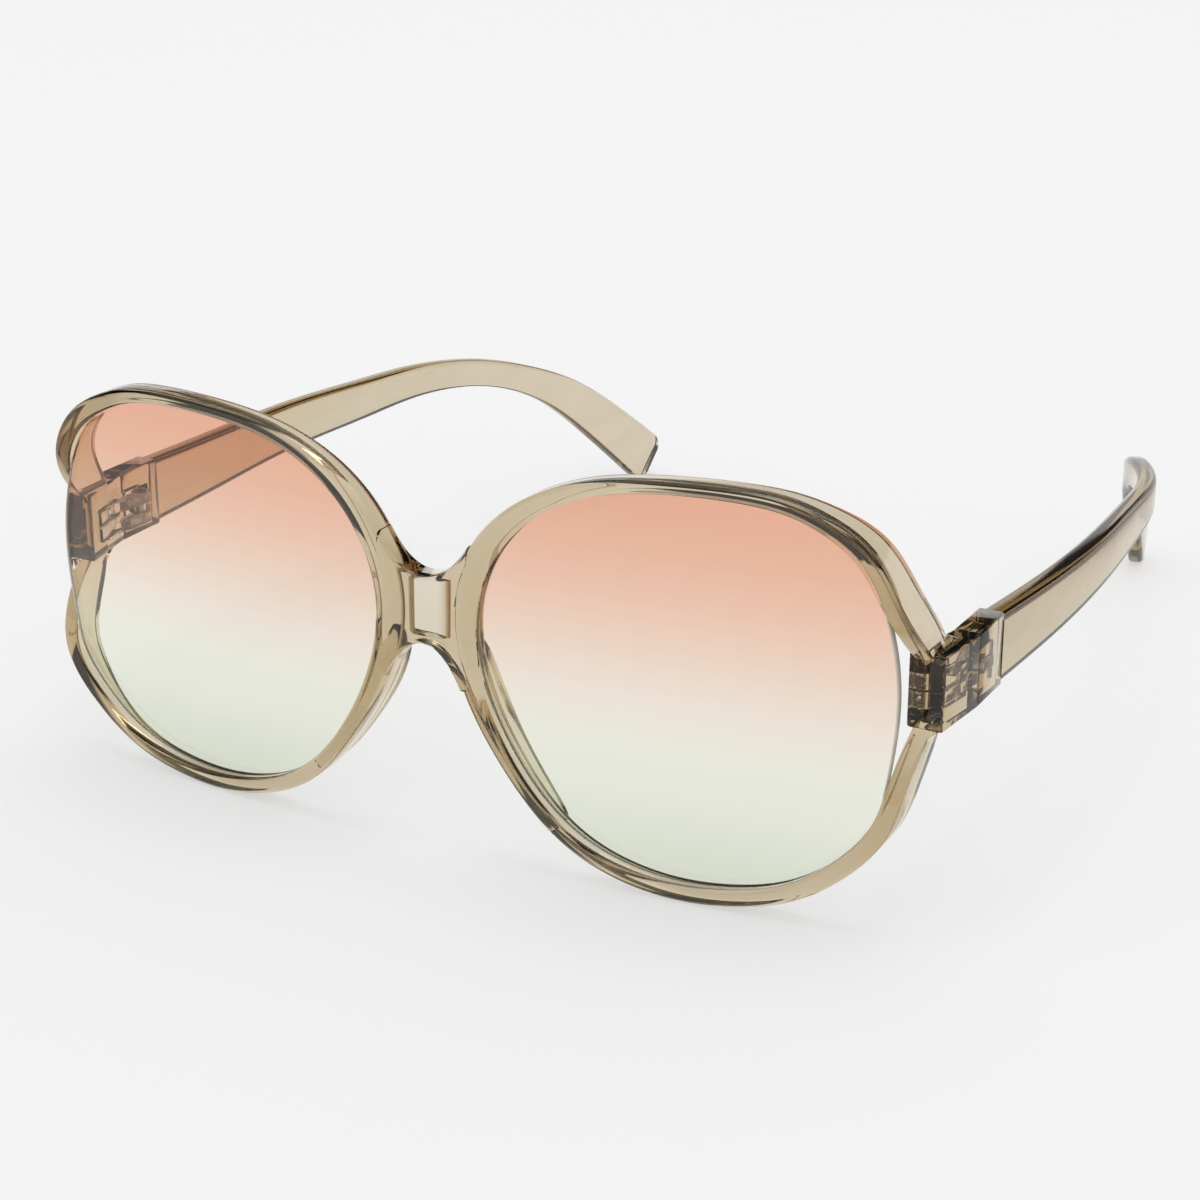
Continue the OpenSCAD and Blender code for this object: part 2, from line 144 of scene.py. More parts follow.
# Rounded edges of a lens, a temple block, its pocket and a temple's end, the share of the last
# that bulges, and the middle of a block's rounded edge as a share of it
LENS_ROUND, BLOCK_ROUND, POCKET_ROUND, TIP_ROUND, TIP_BULGE = 0.2, 0.14, 0.4, 0.5, 0.15
BLOCK_BEVEL = 0.3

# Pad: the power of its rounded ends, into how many parts its thickness is divided when it
# loses one of them towards its lower end, and how many corner radii are in its thickness
PAD_POWER, PAD_TAPER, PAD_CORNERS = 3, 3, 2.5

# How far a cutter reaches past what it cuts
CUT_OVER = 1.0

# Angles in degrees over which an edge is shown sharp: front, lenses, pads, and the leaves,
# blocks and temples
FRONT_SHARP, LENS_SHARP, PAD_SHARP, TEMPLE_SHARP = 40, 50, 60, 35

# Lens faces that look along y by less than this are its ground edge
EDGE_FACING = 0.8

# Fineness of the visible meshes
RIM_TURNS = 600
CORNER_POINTS = 9
LENS_LAYERS, LENS_CROWDING = 24, 1.3
BRIDGE_STEPS = 40
WEB_RINGS = 24
PAD_RINGS = 60
END_RINGS, TANG_POINTS, RECESS_POINTS = 5, 16, 17
KNUCKLE_POINTS, BORE_POINTS = 33, 64
TEMPLE_STEPS, TIP_RINGS = 30, 12

# Turns to each side between which the direction of an outline is taken
NEAR = 1 / 16


def cubic(knots, f):
    """Points of a uniform cubic curve over four rows of knots."""
    a, b, c, d = knots
    f = f[:, None]
    return (a * (1 - f) ** 3 + b * (3 * f ** 3 - 6 * f * f + 4)
            + c * (3 * f * f + 3 * f - 3 * f ** 3 + 1) + d * f ** 3) / 6


def loop_at(rows, u):
    """A closed table at the turns u."""
    u = np.asarray(u, float)
    n = len(rows)
    k = rows * 4 / 3 - (np.roll(rows, 1, 0) + np.roll(rows, -1, 0)) / 6
    i = np.floor(u).astype(int)
    return cubic([k[(i + s) % n] for s in (-1, 0, 1, 2)], u - i)


def line_at(rows, u):
    """An open table at the turns u, carried on straight past its ends."""
    u = np.asarray(u, float)
    first, last = rows[0] - rows[1], rows[-1] - rows[-2]
    wide = np.concatenate([[rows[0] + first * s for s in (4, 3, 2, 1)], rows,
                           [rows[-1] + last * s for s in (1, 2, 3, 4)]])
    k = wide.copy()
    k[1:-1] = wide[1:-1] * 4 / 3 - (wide[:-2] + wide[2:]) / 6
    i = np.floor(u).astype(int)
    return cubic([k[i + 4 + s] for s in (-1, 0, 1, 2)], u - i)


def unit(v):
    return v / np.linalg.norm(v, axis=-1, keepdims=True)


def rounded(low, high, r):
    """Rounded rectangle between two corners, as points that turn from the low to the high side."""
    turns = np.linspace(0, math.pi / 2, CORNER_POINTS)
    points = []
    for x, y, sx, sy, start in ((high[0], high[1], -1, -1, 0), (low[0], high[1], 1, -1, 90),
                                (low[0], low[1], 1, 1, 180), (high[0], low[1], -1, 1, 270)):
        a = turns + math.radians(start)
        points += [(x + sx * r + math.cos(t) * r, y + sy * r + math.sin(t) * r) for t in a]
    return np.array(points)


def rim_row(u):
    return loop_at(RIM_SHARES, u)


def rim_shape(u):
    """Outline of the opening round its own middle."""
    return rim_row(u)[:, :2] * (LENS_W / 2, LENS_H / 2)


def rim_out(u):
    """Directions square to the outline, out of the opening."""
    step = rim_shape(u + NEAR) - rim_shape(u - NEAR)
    return unit(np.stack([step[:, 1], -step[:, 0]], 1))


def rim_face(u):
    """Width of the rim as seen from the front."""
    return rim_row(u)[:, 2] * RIM_W


def rim_front(u):
    """Front of the rim behind the lens surface."""
    return rim_row(u)[:, 3] * BRANCH_BACK - RIM_LIP


def rim_back(u):
    """Back of the rim behind the lens surface."""
    return rim_front(u) + rim_row(u)[:, 4] * RIM_D


CAD_TURNS = np.arange(len(RIM_SHARES) * 5) / 5
EYE_Z = -np.min(rim_shape(CAD_TURNS)[:, 1] + rim_out(CAD_TURNS)[:, 1] * rim_face(CAD_TURNS))
SURFACE_Z = EYE_Z - LENS_H / 20


def lens_face(x, z):
    """How far back the front surface of the lenses lies."""
    return LENS_R - np.sqrt(LENS_R ** 2 - x ** 2 - (z - SURFACE_Z) ** 2)


def rim_point(u):
    return rim_shape(u) + (EYE_X, EYE_Z)


def eye_place(u, out, back):
    """Section points of the left eye; out and back have one row of values for each turn."""
    p, o = rim_point(u), rim_out(u)
    q = p[:, None, :] + o[:, None, :] * out[:, :, None]
    y = lens_face(p[:, 0], p[:, 1])[:, None] + back
    return np.stack([q[..., 0], y, q[..., 1]], -1)


def placed(points, left=True):
    """Front coordinates in millimetres to the row frame in metres."""
    p = np.array(points, float)
    p[..., 1] -= MIDDLE_Y
    if not left:
        p[..., 0] *= -1
    return p * MM


def skin(rings, closed=False):
    """Vertices and faces of a closed skin over rings; an open row of rings gets two fans."""
    rings = np.asarray(rings, float)
    count, size = rings.shape[:2]
    verts = rings.reshape(-1, 3)
    faces = []
    for i in range(count if closed else count - 1):
        k = (i + 1) % count
        for j in range(size):
            n = (j + 1) % size
            faces.append((i * size + j, i * size + n, k * size + n, k * size + j))
    if not closed:
        verts = np.concatenate([verts, [rings[0].mean(0), rings[-1].mean(0)]])
        for j in range(size):
            n = (j + 1) % size
            faces.append((count * size, n, j))
            faces.append((count * size + 1, (count - 1) * size + j, (count - 1) * size + n))
    return verts, faces


def mesh_object(name, part, left=True):
    """A mesh object from vertices and faces in front coordinates, its faces turned outwards."""
    verts, faces = part
    mesh = bpy.data.meshes.new(name)
    mesh.from_pydata(placed(verts, left).tolist(), [], faces)
    bm = bmesh.new()
    bm.from_mesh(mesh)
    bmesh.ops.remove_doubles(bm, verts=bm.verts, dist=1e-8)
    bmesh.ops.recalc_face_normals(bm, faces=bm.faces)
    bm.to_mesh(mesh)
    bm.free()
    obj = bpy.data.objects.new(name, mesh)
    bpy.context.scene.collection.objects.link(obj)
    return obj


def prism(outline, low, high, upright=True):
    """A straight prism over an outline: upright over x and y, or else along x over y and z."""
    outline = np.asarray(outline, float)
    rings = []
    for h in (low, high):
        level = np.full(len(outline), h)
        rings.append(np.column_stack([outline, level] if upright else [level, outline]))
    n = len(outline)
    faces = [(i, (i + 1) % n, n + (i + 1) % n, n + i) for i in range(n)]
    faces += [tuple(range(n)), tuple(range(n, 2 * n))]
    return np.concatenate(rings), faces


def boolean(obj, other, operation="DIFFERENCE"):
    """Adds or takes away a closed mesh, which is then gone."""
    m = obj.modifiers.new("cut", "BOOLEAN")
    m.operation = operation
    m.object = other
    m.solver = "MANIFOLD"
    dg = bpy.context.evaluated_depsgraph_get()
    made = bpy.data.meshes.new_from_object(obj.evaluated_get(dg))
    obj.modifiers.clear()
    obj.data = made
    bpy.data.objects.remove(other)


def smooth_shade(obj, angle):
    """Shades a piece smooth apart from edges that turn by more than an angle in degrees."""
    for polygon in obj.data.polygons:
        polygon.use_smooth = True
    obj.data.set_sharp_from_angle(angle=math.radians(angle))
    return obj


# Front frame: the rims, the bridge, the end pieces and the hollow curves at the branches
def rim_part():
    u = np.arange(RIM_TURNS) * len(RIM_SHARES) / RIM_TURNS
    face, front, back = rim_face(u), rim_front(u), rim_back(u)
    deep = back - front
    soft = 1 - np.clip((deep - RIM_D * DEEP_FROM) / (RIM_D * DEEP_OVER), 0, 1) / 2
    edge = RIM_ROUND * np.minimum(face, deep) * soft
    rings = []
    for k in range(RIM_TURNS):
        section = rounded((front[k], 0), (back[k], face[k]), edge[k])
        rings.append(eye_place(u[k:k + 1], section[None, :, 1], section[None, :, 0])[0])
    return skin(rings, closed=True)


def bridge_part():
    half = NOSE_GAP / 2 - RIM_EDGE / 2
    back = RIM_D * RIM_SHARES[BRIDGE_ROW][4] - RIM_LIP - RIM_EDGE
    rings = []
    for i in range(-BRIDGE_STEPS, BRIDGE_STEPS + 1):
        x, share = half * i / BRIDGE_STEPS, (abs(i) / BRIDGE_STEPS) ** BRIDGE_POWER
        low = BRIDGE_LOW - BRIDGE_DROP * min(share, BRIDGE_STOP)
        high = BRIDGE_LOW + BRIDGE_H + BRIDGE_RISE * share
        section = rounded((low, -RIM_LIP), (high, back), RIM_EDGE)
        rings.append([(x, float(lens_face(x, p[0])) + p[1], p[0]) for p in section])
    return skin(rings)


def end_ring(back, inset):
    """Section of an end piece, drawn in by an inset."""
    inner = END_OUTER - END_T + END_LEAN * back
    outer = END_OUTER + END_SPLAY * back / END_L
    section = rounded((inner + inset, inset - END_H / 2), (outer - inset, END_H / 2 - inset),
                      BLOCK_EDGE)
    return [(p[0], END_Y + back, END_Z + p[1]) for p in section]


def end_part():
    turns = np.radians(np.linspace(0, 90, END_RINGS))
    rings = [end_ring(BLOCK_EDGE * (1 - math.cos(a)), BLOCK_EDGE * (1 - math.sin(a)))
             for a in turns]
    return skin(rings + [end_ring(END_L, 0)])


def web_part(rows, upper):
    """Hollow curve from a branch's back to the end piece's top, or turned over, to its bottom."""
    u = np.array(rows)
    x, z = rim_point(u).T
    start = eye_place(u, np.zeros((2, 1)), (rim_back(u) - RIM_EDGE / 2)[:, None])[:, 0, 1]
    inner, outer = x + RIM_EDGE / 2, x + rim_face(u) - RIM_EDGE / 2
    height = abs(z[0] - END_Z)

    def bend(t, a, b, c):
        return a * (1 - t) ** 2 + b * 2 * t * (1 - t) + c * t * t

    rings = []
    for t in np.linspace(0, 1, WEB_RINGS):
        h = bend(t, height, END_H / 2, END_H / 2)
        low = bend(t, inner[0], inner[1],
                   END_OUTER - END_T + END_LEAN * BRANCH_FILLET + BLOCK_EDGE)
        high = bend(t, outer[0], outer[1], END_OUTER - BLOCK_EDGE)
        near = bend(t, start[0] - 2 * RIM_EDGE, start[0] - 2 * RIM_EDGE, END_Y + BLOCK_EDGE)
        far = bend(t, start[0], start[1], END_Y + BRANCH_FILLET)
        rings.append([(low, near, h), (high, near, h), (high, far, h), (low, far, h)])
    rings.append([(p[0], p[1], p[2] - BLOCK_EDGE) for p in rings[-1]])
    verts, faces = skin(np.array(rings))
    verts[:, 2] = END_Z + (verts[:, 2] if upper else -verts[:, 2])
    return verts, faces


def end_inner(ahead):
    """Inner face of an end piece ahead of its slit."""
    return SLIT_INNER - END_LEAN * ahead


def lens_part(play=0.0, edge_round=0.0):
    """Lens solid; play grows it for the groove, and edge_round softens its edge."""
    u = np.arange(RIM_TURNS) * len(RIM_SHARES) / RIM_TURNS
    hold = np.clip(-rim_front(u) / RIM_LIP, 0, 1)
    edge = rim_point(u) + rim_out(u) * (hold * LENS_BEAD + play)[:, None]
    centre = np.array([EYE_X, EYE_Z])

    def layer(share, inset, back):
        p = centre + (edge - centre) * share
        if inset:
            p = p - rim_out(u) * inset
        return np.stack([p[:, 0], lens_face(p[:, 0], p[:, 1]) + back, p[:, 1]], -1)

    shares = 1 - np.linspace(0, 1, LENS_LAYERS)[:-1] ** LENS_CROWDING
    front = [layer(s, edge_round, -play) for s in shares[::-1]]
    back = [layer(s, edge_round, LENS_T + play) for s in shares]
    if edge_round:
        turn = np.radians([30, 60, 90])
        front += [layer(1, edge_round * (1 - math.sin(t)), edge_round * (1 - math.cos(t)) - play)
                  for t in turn]
        back = [layer(1, edge_round * (1 - math.sin(t)),
                      LENS_T + play - edge_round * (1 - math.cos(t)))
                for t in turn[::-1]] + back
    return skin(front + back)


def tang_part(number, play=0.0):
    """Rounded tang of the front leaf in the end piece: 0 is the lower one, 1 the upper."""
    far, near = TANG_FAR, STEM_T
    low = STACK_Z + number * (STACK_H - TANG_H)
    reach = END_T - 2 * STEM_T
    outline = [(end_inner(near) - TANG_ROOT, SLIT_Y - near + play),
               (end_inner(near) + reach + play, SLIT_Y - near + play)]
    centre = (end_inner(far) + reach - TANG_R, SLIT_Y - far + TANG_R)
    outline += [(centre[0] + (TANG_R + play) * math.cos(a),
                 centre[1] - (TANG_R + play) * math.sin(a))
                for a in np.radians(np.linspace(0, 90, TANG_POINTS))]
    outline += [(end_inner(far) - TANG_ROOT, SLIT_Y - far - play)]
    return prism(outline, low - play, low + TANG_H + play)


def recess_part():
    """Channel down the back of the bridge, with sides that swing out to the rims."""
    deep = float(lens_face(0, END_Z)) + RECESS_Y
    swing = np.linspace(0, 1, RECESS_POINTS)
    out = RECESS_W / 2 + RECESS_SIDE * swing
    back = deep + (RIM_D - RECESS_Y) * (1 - np.cos(math.pi * swing)) / 2
    outline = [(-x, y) for x, y in zip(out[::-1], back[::-1])] + list(zip(out, back))
    outline += [(out[-1], deep + 2 * RIM_D), (-out[-1], deep + 2 * RIM_D)]
    return prism(outline, BRIDGE_LOW + RECESS_END, BRIDGE_LOW + BRIDGE_H - RECESS_END)


def make_front_frame():
    forms = (rim_part(), end_part(), web_part(UPPER_WEB, True), web_part(LOWER_WEB, False))
    cuts = (lens_part(play=PLAY), tang_part(0, PLAY), tang_part(1, PLAY))
    front, *others = [mesh_object("form", form, left) for left in (True, False) for form in forms]
    front.name = "front_frame_shell"
    for other in others + [mesh_object("saddle", bridge_part())]:
        boolean(front, other, "UNION")
    cutters = [mesh_object("cut", cut, left) for left in (True, False) for cut in cuts]
    for cutter in cutters + [mesh_object("recess", recess_part())]:
        boolean(front, cutter)
    return smooth_shade(front, FRONT_SHARP)


def make_lens(side, left):
    """A lens; its second material is for the ground edge."""
    lens = mesh_object("lens_plate_" + side, lens_part(edge_round=LENS_ROUND), left)
    for polygon in smooth_shade(lens, LENS_SHARP).data.polygons:
        polygon.material_index = 1 if abs(polygon.normal.y) < EDGE_FACING else 0
    return lens


def make_pad(side, left):
    s = 0.5 - 0.5 * np.cos(np.linspace(0, 1, PAD_RINGS) * math.pi)
    u = PAD_TURNS[0] + (PAD_TURNS[1] - PAD_TURNS[0]) * s
    full = PAD_END + (1 - PAD_END) * np.sqrt(np.maximum(0, 1 - np.abs(2 * s - 1) ** PAD_POWER))
    face, near = rim_face(u), rim_back(u) + PLAY
    deep = near + PAD_D * full * (1 - s / PAD_TAPER)
    rings = []
    for k in range(PAD_RINGS):
        section = rounded((near[k], face[k] / 2 - face[k] * full[k] / 2 + PLAY),
                          (deep[k], face[k] / 2 + face[k] * full[k] / 2),
                          (deep[k] - near[k]) / PAD_CORNERS)
        rings.append(eye_place(u[k:k + 1], section[None, :, 1], section[None, :, 0])[0])
    pad = mesh_object("nose_pad_" + side + "_soft", skin(rings), left)
    return smooth_shade(pad, PAD_SHARP)


def axis_circle(r):
    """Outline of a round form on the hinge axis."""
    a = np.linspace(0, 2 * math.pi, BORE_POINTS, endpoint=False)
    return [(AXIS_X + r * math.cos(t), AXIS_Y + r * math.sin(t)) for t in a]


def make_front_leaf(side, left):
    """Front leaf: plate, two outer knuckles and tangs; its second material lies in the front."""
    far = PLATE_L + STEM_T + PLATE_RIM
    plate = prism([(end_inner(far) - PLATE_T, SLIT_Y - far),
                   (end_inner(far) - PLAY, SLIT_Y - far),
                   (end_inner(STEM_T) - PLAY, SLIT_Y - STEM_T),
                   (end_inner(STEM_T) - PLATE_T, SLIT_Y - STEM_T)],
                  STACK_Z - PLATE_RIM, STACK_Z + STACK_H + PLATE_RIM)
    leaf = mesh_object("front_leaf_" + side + "_body", plate, left)
    for count in (0, 2):
        low = STACK_Z + count * KNUCKLE_STEP
        arm = [(AXIS_X - KNUCKLE_R, SLIT_Y), (end_inner(PLATE_L) - PLATE_T, SLIT_Y - PLATE_L),
               (end_inner(PLATE_L) - PLAY, SLIT_Y - PLATE_L), (SLIT_INNER - 2 * PLAY, SLIT_Y),
               (SLIT_INNER - 2 * PLAY, AXIS_Y)]
        arm += [(AXIS_X + KNUCKLE_R * math.cos(a), AXIS_Y + KNUCKLE_R * math.sin(a))
                for a in np.radians(np.linspace(20, 180, KNUCKLE_POINTS))]
        boolean(leaf, mesh_object("arm", prism(arm, low, low + KNUCKLE_H), left), "UNION")
    for number in (0, 1):
        boolean(leaf, mesh_object("tang", tang_part(number), left), "UNION")
    top = STACK_Z + STACK_H
    bore = prism(axis_circle(BORE_R), STACK_Z - CUT_OVER, top + CUT_OVER)
    boolean(leaf, mesh_object("bore", bore, left))
    head = prism(axis_circle(HEAD_R + PLAY), top - HEAD_H - PLAY, top + CUT_OVER)
    boolean(leaf, mesh_object("head", head, left))
    for polygon in leaf.data.polygons:
        ahead = polygon.center.y / MM + MIDDLE_Y < SLIT_Y
        polygon.material_index = 1 if ahead else 0
    return smooth_shade(leaf, TEMPLE_SHARP)


def make_block(side, left):
    e = BLOCK_ROUND
    bevel = ((0, e), (e * BLOCK_BEVEL, e * BLOCK_BEVEL), (e, 0))
    rings = []
    for y, inset in ([(BLOCK_Y + back, inset) for back, inset in bevel]
                     + [(SEAM_Y - back, inset) for back, inset in bevel[::-1]]):
        section = rounded((SLIT_INNER + inset, -END_H / 2 + inset),
                          (SLIT_OUTER - inset, END_H / 2 - inset), BLOCK_EDGE)
        rings.append([(p[0], y, END_Z + p[1]) for p in section])
    block = mesh_object("temple_block_" + side + "_body", skin(rings), left)
    pocket = prism(rounded((POCKET_NEAR, STACK_Z - POCKET_ROOM),
                           (POCKET_FAR, STACK_Z + STACK_H + POCKET_ROOM), POCKET_ROUND),
                   SLIT_INNER - CUT_OVER / 2, POCKET_X, upright=False)
    boolean(block, mesh_object("pocket", pocket, left))
    return smooth_shade(block, TEMPLE_SHARP)


def temple_point(u):
    """Middle of the blade's outer face."""
    row = line_at(TEMPLE_SHARES, np.atleast_1d(u))
    return np.stack([SLIT_OUTER - row[:, 1] * HOOK_IN, SEAM_Y + row[:, 0] * TEMPLE_L,
                     END_Z - row[:, 2] * HOOK_DROP], 1)


def temple_ring(u, round_off, shrink=0.0):
    """Section of the blade, lower by a round-off at each edge and drawn in by a shrink."""
    step = (temple_point(u + NEAR) - temple_point(u - NEAR))[0]
    along = step / np.linalg.norm(step)
    up = np.array([0, 0, 1.0]) - along * along[2]
    up /= np.linalg.norm(up)
    across = np.cross(along, up)
    row = line_at(TEMPLE_SHARES, [u])[0]
    half_t = (TEMPLE_T + (HOOK_T - TEMPLE_T) * row[0]) / 2
    half_h = row[3] * TEMPLE_H / 2 - round_off
    middle = temple_point(u)[0] - across * half_t
    section = rounded((-half_t + shrink, -half_h + shrink), (half_t - shrink, half_h - shrink),
                      half_t * 2 / 3)
    return middle + np.outer(section[:, 0], across) + np.outer(section[:, 1], up)


def make_temple(side, left):
    end = len(TEMPLE_SHARES) - 1
    pace = float(np.linalg.norm(temple_point(end) - temple_point(end - 1)))
    turns = [(i / TEMPLE_STEPS, 0)
             for i in range(-TEMPLE_STEPS // 3, end * TEMPLE_STEPS - TEMPLE_STEPS // 4)]
    turns += [(end - TIP_R * (1 - math.sin(a)) / pace, TIP_R * (1 - math.cos(a)))
              for a in np.radians(np.linspace(8, 82, TIP_RINGS))]
    rings = [temple_ring(u, r) for u, r in turns]
    for a in np.radians([15, 35, 55, 75, 90]):
        u = end - (TIP_ROUND / pace) * (1 - math.sin(a)) * TIP_BULGE
        rings.append(temple_ring(u, TIP_R, TIP_ROUND * (1 - math.cos(a))))
    blade = mesh_object("temple_" + side + "_blade", skin(rings), left)
    ahead, seam = SEAM_Y - 2 * END_L, SEAM_Y - SEAM_OVER
    cut = prism([(0, ahead), (FRONT_W, ahead), (FRONT_W, seam), (0, seam)], 0, 2 * END_Z)
    boolean(blade, mesh_object("cut", cut, left))
    return smooth_shade(blade, TEMPLE_SHARP)


# Refractive index of every material
IOR = 1.5

# Density of the plastic's volume over its strongest absorption
DENSITY_ROOM = 1.25

# Loss of each colour in a millimetre
FRAME_ABSORB, PAD_ABSORB = (0.087, 0.126, 0.205), (0.05, 0.07, 0.13)

# Colours of a lens and of its ground edge from its bottom to its top
TINT = [(0.07, (0.84, 0.89, 0.76)), (0.20, (0.90, 0.935, 0.815)), (0.34, (0.93, 0.94, 0.825)),
        (0.47, (0.945, 0.855, 0.745)), (0.60, (0.935, 0.725, 0.59)), (0.73, (0.91, 0.60, 0.46)),
        (0.84, (0.89, 0.515, 0.37)), (0.95, (0.87, 0.465, 0.32))]
EDGE_TINT = [(0.0, (0.60, 0.60, 0.52)), (1.0, (0.62, 0.56, 0.47))]


def principled(name, colour, roughness, transmission=1.0, metallic=0.0):
    """A material with its node tree and its shader."""
    mat = bpy.data.materials.new(name)
    mat.use_nodes = True
    tree = mat.node_tree
    shader = tree.nodes["Principled BSDF"]
    shader.inputs["Base Color"].default_value = (*colour, 1)
    shader.inputs["Roughness"].default_value = roughness
    shader.inputs["IOR"].default_value = IOR
    shader.inputs["Transmission Weight"].default_value = transmission
    shader.inputs["Metallic"].default_value = metallic
    return mat, tree, shader


def node(tree, kind, **inputs):
    """A node of a kind, with values on its named inputs."""
    n = tree.nodes.new(kind)
    for key, value in inputs.items():
        n.inputs[key.replace("_", " ")].default_value = value
    return n


def noise(tree, place, **inputs):
    """Strength of a noise at a place."""
    n = node(tree, "ShaderNodeTexNoise", **inputs)
    tree.links.new(place, n.inputs["Vector"])
    return n.outputs["Fac"]


def ranged(tree, value, low, high, start=0.0, end=1.0, steps="LINEAR"):
    """A Map Range node: start at low, end at high."""
    n = node(tree, "ShaderNodeMapRange", From_Min=low, From_Max=high, To_Min=start, To_Max=end)
    n.interpolation_type = steps
    tree.links.new(value, n.inputs["Value"])
    return n.outputs["Result"]


def ramp(tree, factor, stops):
    """Colour of a factor between stops of a position and a colour."""
    r = tree.nodes.new("ShaderNodeValToRGB")
    while len(r.color_ramp.elements) > 1:
        r.color_ramp.elements.remove(r.color_ramp.elements[0])
    r.color_ramp.elements[0].position = stops[0][0]
    r.color_ramp.elements[0].color = (*stops[0][1], 1)
    for position, colour in stops[1:]:
        e = r.color_ramp.elements.new(position)
        e.color = (*colour, 1)
    tree.links.new(factor, r.inputs["Fac"])
    return r.outputs["Color"]


def clear_plastic(name, absorb, tint_low, tint_high, roughness, wave, clear=1.0):
    """Moulded translucent plastic: absorb is what each colour loses in a millimetre, if any."""
    mat, tree, shader = principled(name, tint_high, roughness, transmission=clear)
    place = tree.nodes.new("ShaderNodeTexCoord").outputs["Object"]
    streak_map = node(tree, "ShaderNodeMapping", Scale=(220, 60, 220))
    tree.links.new(place, streak_map.inputs["Vector"])
    streaks = noise(tree, streak_map.outputs["Vector"], Scale=1.0, Detail=3.0, Roughness=0.55)
    tint = ramp(tree, streaks, [(0.3, tint_low), (0.7, tint_high)])
    tree.links.new(tint, shader.inputs["Base Color"])
    wear = noise(tree, place, Scale=900.0, Detail=4.0, Roughness=0.6)
    tree.links.new(ranged(tree, wear, 0.35, 0.75, roughness, roughness * 2),
                   shader.inputs["Roughness"])
    bump = node(tree, "ShaderNodeBump", Strength=wave, Distance=0.0002)
    tree.links.new(noise(tree, place, Scale=160.0, Detail=1.0), bump.inputs["Height"])
    tree.links.new(bump.outputs["Normal"], shader.inputs["Normal"])
    if not absorb:
        return mat
    density = DENSITY_ROOM * max(absorb) / MM
    volume = node(tree, "ShaderNodeVolumeAbsorption", Density=density,
                  Color=(*[1 - a / MM / density for a in absorb], 1))
    tree.links.new(volume.outputs["Volume"], tree.nodes["Material Output"].inputs["Volume"])
    return mat


def lens_material(name, stops, roughness, clear=1.0):
    """Tinted clear plastic whose colour changes with the height."""
    mat, tree, shader = principled(name, (0.9, 0.85, 0.8), roughness, transmission=clear)
    place = tree.nodes.new("ShaderNodeTexCoord").outputs["Object"]
    xyz = tree.nodes.new("ShaderNodeSeparateXYZ")
    tree.links.new(place, xyz.inputs["Vector"])
    height = ranged(tree, xyz.outputs["Z"], (EYE_Z - LENS_H / 2) * MM, (EYE_Z + LENS_H / 2) * MM)
    tree.links.new(ramp(tree, height, stops), shader.inputs["Base Color"])
    coating = noise(tree, place, Scale=700.0, Detail=2.0)
    tree.links.new(ranged(tree, coating, 0.45, 0.8, roughness, roughness + 0.02),
                   shader.inputs["Roughness"])
    return mat


def steel_material():
    mat, tree, shader = principled("screw_steel", (0.62, 0.61, 0.60), 0.25, transmission=0.0,
                                   metallic=1.0)
    place = tree.nodes.new("ShaderNodeTexCoord").outputs["Object"]
    turned = noise(tree, place, Scale=4000.0, Detail=2.0)
    tint = ramp(tree, turned, [(0.3, (0.52, 0.51, 0.50)), (0.7, (0.72, 0.71, 0.69))])
    tree.links.new(tint, shader.inputs["Base Color"])
    return mat


frame_plastic = clear_plastic("frame_plastic_clear", FRAME_ABSORB, (0.95, 0.94, 0.90),
                              (0.99, 0.985, 0.97), 0.01, 0.05)
temple_plastic = clear_plastic("temple_plastic_clear", FRAME_ABSORB, (0.90, 0.89, 0.85),
                               (0.98, 0.975, 0.96), 0.05, 0.08)
tang_plastic = clear_plastic("hinge_tang_plastic_clear", None, (0.93, 0.91, 0.86),
                             (0.98, 0.97, 0.94), 0.02, 0.04)
knuckle_plastic = clear_plastic("hinge_knuckle_plastic_cloudy", None, (0.66, 0.61, 0.52),
                                (0.78, 0.74, 0.66), 0.04, 0.04, clear=0.75)
leaf_plastic = clear_plastic("temple_leaf_plastic_cloudy", None, (0.86, 0.83, 0.76),
                             (0.93, 0.91, 0.86), 0.04, 0.04, clear=0.85)
pad_plastic = clear_plastic("pad_plastic_soft", PAD_ABSORB, (0.93, 0.92, 0.87),
                            (0.98, 0.975, 0.96), 0.06, 0.02)
lens_gradient = lens_material("lens_gradient", TINT, 0.0)
lens_edge = lens_material("lens_ground_edge", EDGE_TINT, 0.35, clear=0.45)
steel = steel_material()


def dress(obj, *materials):
    """Gives a piece its materials and keeps which of its faces has which."""
    kept = [polygon.material_index for polygon in obj.data.polygons]
    obj.data.materials.clear()
    for material in materials:
        obj.data.materials.append(material)
    obj.data.polygons.foreach_set("material_index", kept)


def give(obj, materials, body, replaced):
    """Dresses a visible piece and puts it on a body in the place of a node."""
    dress(obj, *materials)
    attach(obj, body)
    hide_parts(replaced)


give(make_front_frame(), [frame_plastic], "front", "front_frame")
for side, left in (("left", True), ("right", False)):
    temple = side + "_temple"
    give(make_lens(side, left), [lens_gradient, lens_edge], "front",
         "lens_" + side)
    give(make_pad(side, left), [pad_plastic], "front", "nose_pad_" + side)
    give(make_block(side, left), [frame_plastic], temple,
         "temple_block_" + side)
    give(make_temple(side, left), [temple_plastic], temple, "temple_" + side)
    give(make_front_leaf(side, left), [knuckle_plastic, tang_plastic], "front",
         "front_hinge_leaf_" + side)
    for name, material in (("temple_hinge_leaf_", leaf_plastic), ("hinge_screw_", steel)):
        materials = nodes[name + side].data.materials
        materials.clear()
        materials.append(material)


# Brightness of the white backdrop, of what lights matt surfaces, of the stronger light on one
# side, and of the studio's dark wall above the backdrop
BACKDROP, FILL, LEAN, STUDIO_DARK = 0.913, 0.74, 0.10, 0.05

# Direction of the stronger light: to the right, to the back and up
LEAN_TO = (0.35, 0.45, 0.82)

